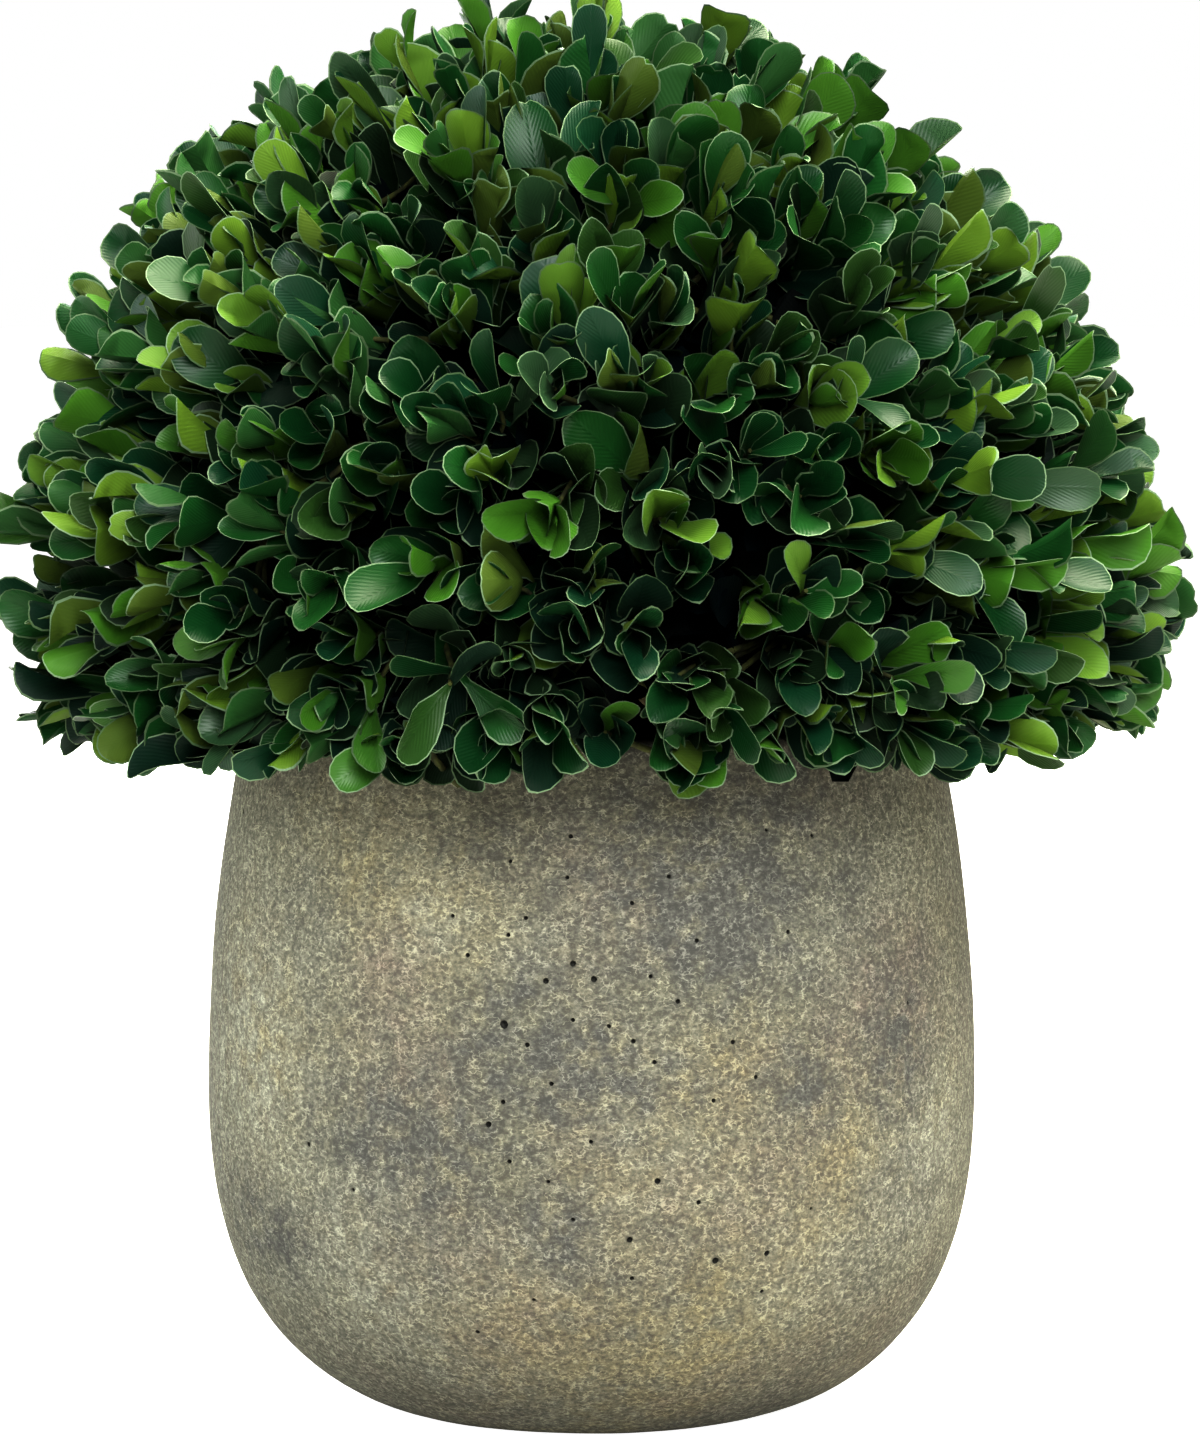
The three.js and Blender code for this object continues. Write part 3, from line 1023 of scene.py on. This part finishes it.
def joined_leaves(name, pattern, leaves):
    """All given leaves as one mesh object, each face with its leaf's own tint."""
    shapes, chart = leaf_shapes(pattern, leaves)
    points = placed(shapes, leaves)
    count, size = points.shape[:2]
    corners = (pattern.corners[None, :] + size * np.arange(count)[:, None]).ravel()
    tints = np.stack([leaves["upper"], leaves["under"], leaves["margin"]], axis=1)
    return mesh_piece(
        name,
        points.reshape(-1, 3),
        corners,
        np.tile(pattern.sizes, count),
        leaf_skins,
        slots=tints[:, pattern.kinds].ravel(),
        chart=chart[:, pattern.corners].reshape(-1, 2),
    )


# -------------------------------------------------------------------------------------------------
# Sprays
# -------------------------------------------------------------------------------------------------

# How far leaves and sprays stray from the rule.
TURN_STRAYING = 0.22  # radians round the twig
SPREAD_STRAYING = 0.35  # of how wide a whole spray opens
OPENING_STRAYING = math.radians(6)
ROLL_STRAYING = math.radians(21)  # round the leaf's own length
SIZE_STRAYING = 0.07
UNDERSIDE_STRAYING = 3  # millimetres
# Where the shears left a full-sized pair as a spray's end, it opens wider and its leaves are longer.
CUT_OPENING = math.radians(10)
CUT_SIZE = 0.24
USUAL_CLIPPING = 0.18 * CLIPPING_DEPTH  # how far short of the shears' line most sprays end
CLIPPING_ROUNDS = 5


def spread_directions(count, lowest):
    """Directions above an elevation, spread evenly by the golden angle."""
    floor = math.sin(lowest)
    height = 1 - (1 - floor) * (np.arange(count) + 0.5) / count
    return direction(GOLDEN_ANGLE * np.arange(count), np.arcsin(height))


def strayed(directions, amount):
    """The same directions, each turned a little aside."""
    return unit(directions + rng.normal(0, amount, directions.shape))


def grow_sprays():
    """The leaves of every spray, in crossed pairs below its tip, and each spray's tip and axis."""
    spacing = math.sqrt(2 * math.pi * (1 - math.sin(LOWEST_SPRAY)) / SPRAY_COUNT)
    out = strayed(spread_directions(SPRAY_COUNT, LOWEST_SPRAY), SPRAY_STRAYING * spacing / 2)
    axis = strayed(out, math.tan(SPRAY_TILT) / 2)
    side = unit(np.cross(axis, rng.normal(0, 1, (SPRAY_COUNT, 3))))
    other = np.cross(axis, side)

    pairs = OUTER_PAIRS + INNER_PAIRS
    shape = (SPRAY_COUNT, pairs, 2)
    spray = np.broadcast_to(np.arange(SPRAY_COUNT)[:, None, None], shape)
    pair = np.broadcast_to(np.arange(pairs)[None, :, None], shape)
    below = np.cumsum(between(INTERNODE, (SPRAY_COUNT, pairs)), axis=1)[:, :, None] - INTERNODE[0]
    below = np.broadcast_to(below, shape)
    turn = pair * math.pi / 2 + np.array([0, math.pi]) + rng.normal(0, TURN_STRAYING, shape)
    # Some sprays open wide, and some were cut so that a full-sized pair ends them.
    spread = np.exp(rng.normal(0, SPREAD_STRAYING, (SPRAY_COUNT, 1, 1)))
    maturity = np.where(pair == 0, rng.uniform(0, 1, (SPRAY_COUNT, 1, 1)), 0)
    opening = (PAIR_OPENING[pair] + CUT_OPENING * maturity) * spread
    opening = opening + rng.normal(0, OPENING_STRAYING, shape)
    length = between(LEAF_LENGTH, shape) * (PAIR_SIZE[pair] + CUT_SIZE * maturity)
    length = length * rng.normal(1, SIZE_STRAYING, (SPRAY_COUNT, 1, 1))

    outward = np.cos(turn)[..., None] * side[spray] + np.sin(turn)[..., None] * other[spray]
    along = np.cos(opening)[..., None] * axis[spray] + np.sin(opening)[..., None] * outward
    normal = np.sin(opening)[..., None] * axis[spray] - np.cos(opening)[..., None] * outward
    roll = rng.normal(0, ROLL_STRAYING, shape)[..., None]
    normal = np.cos(roll) * normal + np.sin(roll) * np.cross(along, normal)

    reach = -below[..., None] * axis[spray] + length[..., None] * along
    limit = clipped_radius(out)
    short = rng.triangular(-REGROWTH, USUAL_CLIPPING, CLIPPING_DEPTH, SPRAY_COUNT)
    tip = CROWN_CENTRE + out * limit[:, None]
    # Round by round, each spray is moved along its axis until its furthest leaf tip is that far short.
    for _ in range(CLIPPING_ROUNDS):
        offset = tip[:, None, None, :] + reach - CROWN_CENTRE
        distance = np.linalg.norm(offset, axis=-1)
        cut = clipped_radius((offset / distance[..., None]).reshape(-1, 3)).reshape(distance.shape)
        tip = tip - axis * ((distance - cut).reshape(SPRAY_COUNT, -1).max(axis=1) + short)[:, None]
    leaf_tips = tip[:, None, None, :] + reach
    off_stem = np.hypot(leaf_tips[..., 0], leaf_tips[..., 1])
    floor = CROWN_UNDERSIDE + UNDERSIDE_RISE * np.maximum(0, off_stem - LIP_RADIUS)
    lack = (floor - leaf_tips[..., 2]).reshape(SPRAY_COUNT, -1).max(axis=1)
    ragged = rng.triangular(-UNDERSIDE_STRAYING, 0, UNDERSIDE_STRAYING, SPRAY_COUNT) * MM
    tip[:, 2] += np.maximum(0, lack - ragged)

    grown = {
        "spray": spray,
        "pair": pair,
        "length": length,
        "base": tip[spray] - below[..., None] * axis[spray],
        "direction": along,
        "normal": normal,
    }
    return {name: values.reshape(-1, *values.shape[3:]) for name, values in grown.items()}, tip, axis


# Young sprays on the front: azimuth and elevation from the ball's centre, in degrees.
YOUNG_SPRAYS = (
    (-75, 1),
    (-69, 3),
    (-74, 32),
    (-112, 44),
    (-90, 8),
    (-138, 54),
    (-36, 26),
    (-46, 2),
    (-31, -9),
    (-49, 59),
    (-139, 22),
    (-132, 27),
    (-151, 13),
    (-41, 32),
    (-44, 40),
    (-80, 24),
    (-110, 1),
    (-149, -5),
    (-31, -2),
    (-93, -18),
)
YOUNG_SHARE = 0.09  # of all other sprays
YOUNG_LEAVES = 0.6  # of a young spray
# The share of leaves darkened as painted shade in each outer pair, from the tip down, above and below the
# ball's middle.
DEEP_SHADE_LEAVES = np.array([[0.0, 0.0, 0.25, 1.0], [0.15, 0.3, 0.85, 1.0]])


def young_sprays(tips):
    """Which sprays are young: the listed ones, and a few more all round."""
    is_young = rng.uniform(size=len(tips)) < YOUNG_SHARE
    out = unit(tips - CROWN_CENTRE)
    for azimuth, elevation in YOUNG_SPRAYS:
        place = direction(math.radians(azimuth), math.radians(elevation))
        is_young[int((out @ place).argmax())] = True
    return is_young


# How a leaf's outline fills out towards its base and towards its tip.
BASE_FULLNESS = (1.05, 1.5)
TIP_FULLNESS = (0.42, 0.66)
TIP_SLENDERNESS = 0.9  # the width of a spray's last pair beside that of the others
# The usual value of each habit and how far it strays; bend and twist in radians, wave in millimetres.
CUP = (0.42, 0.18)
CUP_LIMITS = (0.05, 0.9)
FOLD = (0.08, 0.20)
BEND = (0.0, 0.32)
TWIST = (0.0, 0.24)
WAVE = (0.0, 0.5)
NOTCH = (0.0, 0.02)
# The share of leaves that have a tint of their own and not their spray's.
UPPER_STRAYING, UNDER_STRAYING, MARGIN_STRAYING = 0.3, 0.35, 1


def give_habit(leaves, is_young):
    """Gives each leaf its own outline, cupping, bend and twist, and the tints of its spray."""
    count = len(leaves["length"])
    sprays = leaves["spray"].max() + 1
    slenderness = between(LEAF_SLENDERNESS, count) * np.where(leaves["pair"] == 0, TIP_SLENDERNESS, 1)
    leaves["half_width"] = leaves["length"] * slenderness / 2
    leaves["base_fullness"] = between(BASE_FULLNESS, count)
    leaves["tip_fullness"] = between(TIP_FULLNESS, count)
    leaves["cup"] = np.clip(rng.normal(*CUP, count), *CUP_LIMITS)
    leaves["fold"] = np.abs(rng.normal(*FOLD, count))
    leaves["bend"] = rng.normal(*BEND, count)
    leaves["twist"] = rng.normal(*TWIST, count)
    leaves["wave"] = np.abs(rng.normal(*WAVE, count)) * MM
    leaves["wave_start"] = rng.uniform(0, 2 * math.pi, count)
    leaves["notch"] = np.maximum(0, rng.normal(*NOTCH, count))
    for name, tints, first, straying in (
        ("upper", UPPER_TINTS, 0, UPPER_STRAYING),
        ("under", UNDER_TINTS, FIRST_UNDER, UNDER_STRAYING),
        ("margin", MARGIN_TINTS, FIRST_MARGIN, MARGIN_STRAYING),
    ):
        of_spray = rng.choice(len(tints), sprays, p=shares(tints))[leaves["spray"]]
        of_leaf = rng.choice(len(tints), count, p=shares(tints))
        leaves[name] = first + np.where(rng.uniform(size=count) < straying, of_leaf, of_spray)
    young = FIRST_YOUNG + rng.choice(len(YOUNG_TINTS), count, p=shares(YOUNG_TINTS))
    # The dark tints paint shade: on the deeper pairs, and on more leaves below the ball's middle.
    deep_shade = FIRST_DEEP_SHADE + rng.choice(len(DEEP_SHADE_TINTS), count, p=shares(DEEP_SHADE_TINTS))
    shaded = FIRST_SHADED + rng.choice(len(SHADED_TINTS), count, p=shares(SHADED_TINTS))
    in_shade = leaves["pair"] >= OUTER_PAIRS
    stays_young = is_young[leaves["spray"]] & (rng.uniform(size=count) < YOUNG_LEAVES)
    is_below = (leaves["base"][:, 2] < CROWN_CENTRE[2]).astype(int)
    is_deep_shaded = rng.uniform(size=count) < DEEP_SHADE_LEAVES[is_below, np.minimum(leaves["pair"], OUTER_PAIRS - 1)]
    for name in ("upper", "under"):
        leaves[name] = np.where(stays_young, young, leaves[name])
        leaves[name] = np.where(is_deep_shaded, deep_shade, leaves[name])
        leaves[name] = np.where(in_shade, shaded, leaves[name])
    return leaves


def chosen(leaves, keep):
    """Only the leaves to keep."""
    return {name: values[keep] for name, values in leaves.items()}


LIP_CLEARANCE = 1 * MM
WALL_CLEARANCE = 1.5 * MM


def clear_of_pot(leaves):
    """Only the leaves that don't grow into the pot, judged at four places along each."""
    inside = np.zeros(len(leaves["length"]), bool)
    for share in (0.15, 0.5, 0.8, 1.0):
        point = leaves["base"] + share * leaves["length"][:, None] * leaves["direction"]
        radius = np.hypot(point[:, 0], point[:, 1])
        is_low = point[:, 2] < POT_HEIGHT + LIP_CLEARANCE
        inside |= is_low & (radius < pot_radius(point[:, 2]) + WALL_CLEARANCE)
    return chosen(leaves, ~inside)


# -------------------------------------------------------------------------------------------------
# Boughs, branches and twigs
# -------------------------------------------------------------------------------------------------

BOUGH_COUNT = 16
BRANCH_COUNT = 84
LOWEST_BOUGH = math.radians(-8)
LOWEST_BRANCH = math.radians(-22)
BOUGH_REACH = 62 * MM  # from the ball's centre
BRANCH_REACH = 98 * MM
BOUGH_STRAYING = (0.08, 0.06)  # of its direction and of its reach
BRANCH_STRAYING = (0.05, 0.05)
LEVEL_BOUGH_FOOT = 0.45  # how far up the stem a level bough leaves it
BOUGH_FEET = (0.35, 0.93)  # the lowest and the highest such places
BOUGH_HANDLES = (0.3, 0.35)  # beside its reach
BOUGH_LIFT = 14 * MM  # boughs leave the stem upwards
BRANCH_HANDLE = 14 * MM  # about how long a limb keeps its first and last direction
TWIG_HANDLES = (9 * MM, 14 * MM)
TWIG_LENGTH = 28 * MM  # usual, and what each twig's branch is chosen by
BOUGH_OVERLAP = 3 * MM  # how far a limb starts inside the one that it leaves
BRANCH_OVERLAP = 2 * MM
LIMB_KNOTS = 0.07  # how far a limb's thickness strays
BOUGH_RADII = (3.6 * MM, 2.2 * MM)
BRANCH_RADII = (2.1 * MM, 1.3 * MM)
TWIG_RADII = (1.1 * MM, 0.5 * MM)


def curved(start, leave, arrive, end, points):
    """Smooth paths from starts to ends. The handles say which way and how far they leave and arrive."""
    s = np.linspace(0, 1, points)[None, :, None]
    start, leave, arrive, end = (a[:, None, :] for a in (start, start + leave, end - arrive, end))
    return (1 - s) ** 3 * start + 3 * s * (1 - s) ** 2 * leave + 3 * s**2 * (1 - s) * arrive + s**3 * end


def limbs(name, paths, radii, sides, material):
    """Tapered, slightly knotty tubes along the paths, joined to one closed piece."""
    count, points = paths.shape[:2]
    along = unit(np.gradient(paths, axis=1))
    side = unit(np.cross(along, unit(rng.normal(0, 1, (count, 1, 3)))))
    other = np.cross(along, side)
    turn = 2 * math.pi * np.arange(sides) / sides
    taper = np.linspace(radii[0], radii[1], points)[None, :] * rng.normal(1, LIMB_KNOTS, (count, points))
    ring = np.cos(turn)[:, None] * side[:, :, None, :] + np.sin(turn)[:, None] * other[:, :, None, :]
    solid = paths[:, :, None, :] + taper[:, :, None, None] * ring
    # Four-sided faces from ring to ring, and one flat face at each end.
    low = np.arange(points - 1)[:, None] * sides + np.arange(sides)[None, :]
    right = np.arange(points - 1)[:, None] * sides + (np.arange(sides)[None, :] + 1) % sides
    walls = np.stack([low, right, right + sides, low + sides], axis=-1).reshape(-1)
    ends = np.concatenate([np.arange(sides)[::-1], np.arange(sides) + (points - 1) * sides])
    corners = np.concatenate([walls, ends])
    sizes = np.concatenate([np.full((points - 1) * sides, 4), [sides, sides]])
    corners = (corners[None, :] + sides * points * np.arange(count)[:, None]).ravel()
    piece = mesh_piece(name, solid.reshape(-1, 3), corners, np.tile(sizes, count), [material])
    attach(piece, "root")


def nearest(points, parents):
    """For each point, the number of the parent closest to it."""
    return np.linalg.norm(points[:, None] - parents[None], axis=2).argmin(axis=1)


def grow_limbs(tips, axes):
    """Boughs from the stem, branches from the boughs, and a twig to every spray."""
    bark = box_bark("branch_bark", "#4a4030", "#8d8060")
    young = box_bark("twig_bark", "#2f3216", "#565c2a")
    outs = strayed(spread_directions(BOUGH_COUNT, LOWEST_BOUGH), BOUGH_STRAYING[0])
    ends = CROWN_CENTRE + outs * BOUGH_REACH * rng.normal(1, BOUGH_STRAYING[1], (BOUGH_COUNT, 1))
    # The steeper a bough, the higher up it leaves the stem.
    rise = np.clip(LEVEL_BOUGH_FOOT + 0.5 * outs[:, 2], *BOUGH_FEET)[:, None]
    foot = np.array([0, 0, stem_low[2]])
    starts = foot + rise * (STEM_TOP - foot)
    lift = np.array([0, 0, BOUGH_LIFT])
    leave = BOUGH_HANDLES[0] * outs * BOUGH_REACH + lift
    arrive = BOUGH_HANDLES[1] * outs * BOUGH_REACH
    boughs = curved(starts, leave, arrive, ends, points=9)
    limbs("boughs", boughs, BOUGH_RADII, sides=9, material=bark)

    forks = strayed(spread_directions(BRANCH_COUNT, LOWEST_BRANCH), BRANCH_STRAYING[0])
    fork_ends = CROWN_CENTRE + forks * BRANCH_REACH * rng.normal(1, BRANCH_STRAYING[1], (BRANCH_COUNT, 1))
    parent = nearest(fork_ends, ends)
    starts = ends[parent] - BOUGH_OVERLAP * outs[parent]
    branches = curved(starts, BRANCH_HANDLE * outs[parent], BRANCH_HANDLE * forks, fork_ends, points=6)
    limbs("branches", branches, BRANCH_RADII, sides=7, material=bark)

    parent = nearest(tips - TWIG_LENGTH * axes, fork_ends)
    starts = fork_ends[parent] - BRANCH_OVERLAP * forks[parent]
    twigs = curved(starts, TWIG_HANDLES[0] * forks[parent], TWIG_HANDLES[1] * axes, tips, points=6)
    limbs("twigs", twigs, TWIG_RADII, sides=5, material=young)


# -------------------------------------------------------------------------------------------------
# The plant in its pot
# -------------------------------------------------------------------------------------------------

sprays, spray_tips, spray_axes = grow_sprays()
sprays = clear_of_pot(give_habit(sprays, young_sprays(spray_tips)))
azimuth = np.arctan2(sprays["base"][:, 1], sprays["base"][:, 0])
is_outer = sprays["pair"] < OUTER_PAIRS

leaf_pieces = []
for label, keep, pattern, parts in (
    ("outer_leaves", is_outer, FINE_LEAF, 4),
    ("inner_leaves", ~is_outer, COARSE_LEAF, 1),
):
    for part in range(parts):
        sector = np.floor((azimuth + math.pi) / (2 * math.pi) * parts).clip(0, parts - 1) == part
        leaf_pieces.append(joined_leaves(f"{label}_{part + 1}", pattern, chosen(sprays, keep & sector)))

for piece in leaf_pieces:
    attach(piece, "root")
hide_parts("crown")

grow_limbs(spray_tips, spray_axes)
pot()
potting_mix()
stem()

# -------------------------------------------------------------------------------------------------
# Floor, light and camera
# -------------------------------------------------------------------------------------------------

SOFTBOX_SIZE = 1.2  # metres
WHITE, WARM_WHITE, COOL_WHITE = (1.0, 1.0, 1.0), (1.0, 0.93, 0.78), (0.96, 1.0, 0.97)
# Name, place in metres, watts and colour.
SOFTBOXES = (
    ("softbox_top", (0.4, 0.0, 1.6), 93, WARM_WHITE),
    ("softbox_left", (-1.5, 0.0, 0.35), 25, COOL_WHITE),
    ("softbox_right", (1.5, 0.0, 0.45), 4, COOL_WHITE),
    ("softbox_front", (0.25, -1.8, 1.15), 72, WHITE),
    ("softbox_back", (-0.2, 1.8, 0.7), 55, WHITE),
)
LIT_PLACE = Vector((0, 0, 0.2))
FLOOR_SIZE = 60  # metres, so that no edge of it shows
AMBIENT_STRENGTH = 0.08
FLOOR_GLOW = 0.16  # the floor is a light table
CAMERA_TARGET = Vector((2 * MM, 0, 160.8 * MM))
CAMERA_DISTANCE = 1.3  # metres
CAMERA_ELEVATION = math.radians(4.5)
CAMERA_LENS = 139  # millimetres
PICTURE_GAMMA = 0.72  # printed a little hard, which deepens the shade between the leaves


def softbox(name, place, power, colour):
    """A soft square light at a place, turned towards the plant."""
    data = bpy.data.lights.new(name, "AREA")
    data.size, data.energy, data.color = SOFTBOX_SIZE, power, colour
    made = bpy.data.objects.new(name, data)
    made.location = place
    made.rotation_euler = (LIT_PLACE - Vector(place)).to_track_quat("-Z", "Y").to_euler()
    bpy.context.scene.collection.objects.link(made)


def seen_white(tree, strength):
    """A glow that is seen as plain white, and lights the plant with the given strength."""
    seen = node(tree, "ShaderNodeLightPath")
    is_seen = seen.outputs["Is Camera Ray"]
    glow = node(tree, "ShaderNodeMapRange", {"Value": is_seen, "To Min": strength, "To Max": 1.0})
    return glow.outputs[0]


def studio():
    """A pale floor in an even white room, lit by the softboxes."""
    bpy.ops.mesh.primitive_plane_add(size=FLOOR_SIZE)
    floor = bpy.context.object
    floor.name = "floor"
    # Matt paint, which takes soft shade and shows no gleam.
    material, tree, paint = new_material("floor_paint")
    paint.inputs["Base Color"].default_value = linear("#b9b9b7")
    paint.inputs["Roughness"].default_value = 0.9
    paint.inputs["Emission Color"].default_value = (1, 1, 1, 1)
    tree.links.new(seen_white(tree, FLOOR_GLOW), paint.inputs["Emission Strength"])
    floor.data.materials.append(material)

    world = bpy.data.worlds.new("studio")
    bpy.context.scene.world = world
    world.use_nodes = True
    tree = world.node_tree
    background = tree.nodes["Background"]
    background.inputs["Color"].default_value = (1, 1, 1, 1)
    tree.links.new(seen_white(tree, AMBIENT_STRENGTH), background.inputs["Strength"])

    for light in SOFTBOXES:
        softbox(*light)


def camera():
    """A long lens, a little above the level of the plant's middle."""
    data = bpy.data.cameras.new("camera")
    data.lens = CAMERA_LENS
    made = bpy.data.objects.new("camera", data)
    back = Vector((0, -math.cos(CAMERA_ELEVATION), math.sin(CAMERA_ELEVATION)))
    made.location = CAMERA_TARGET + back * CAMERA_DISTANCE
    made.rotation_euler = (-back).to_track_quat("-Z", "Y").to_euler()
    bpy.context.scene.collection.objects.link(made)
    bpy.context.scene.camera = made


studio()
camera()
picture = bpy.context.scene.view_settings
picture.view_transform = "Standard"
picture.gamma = PICTURE_GAMMA
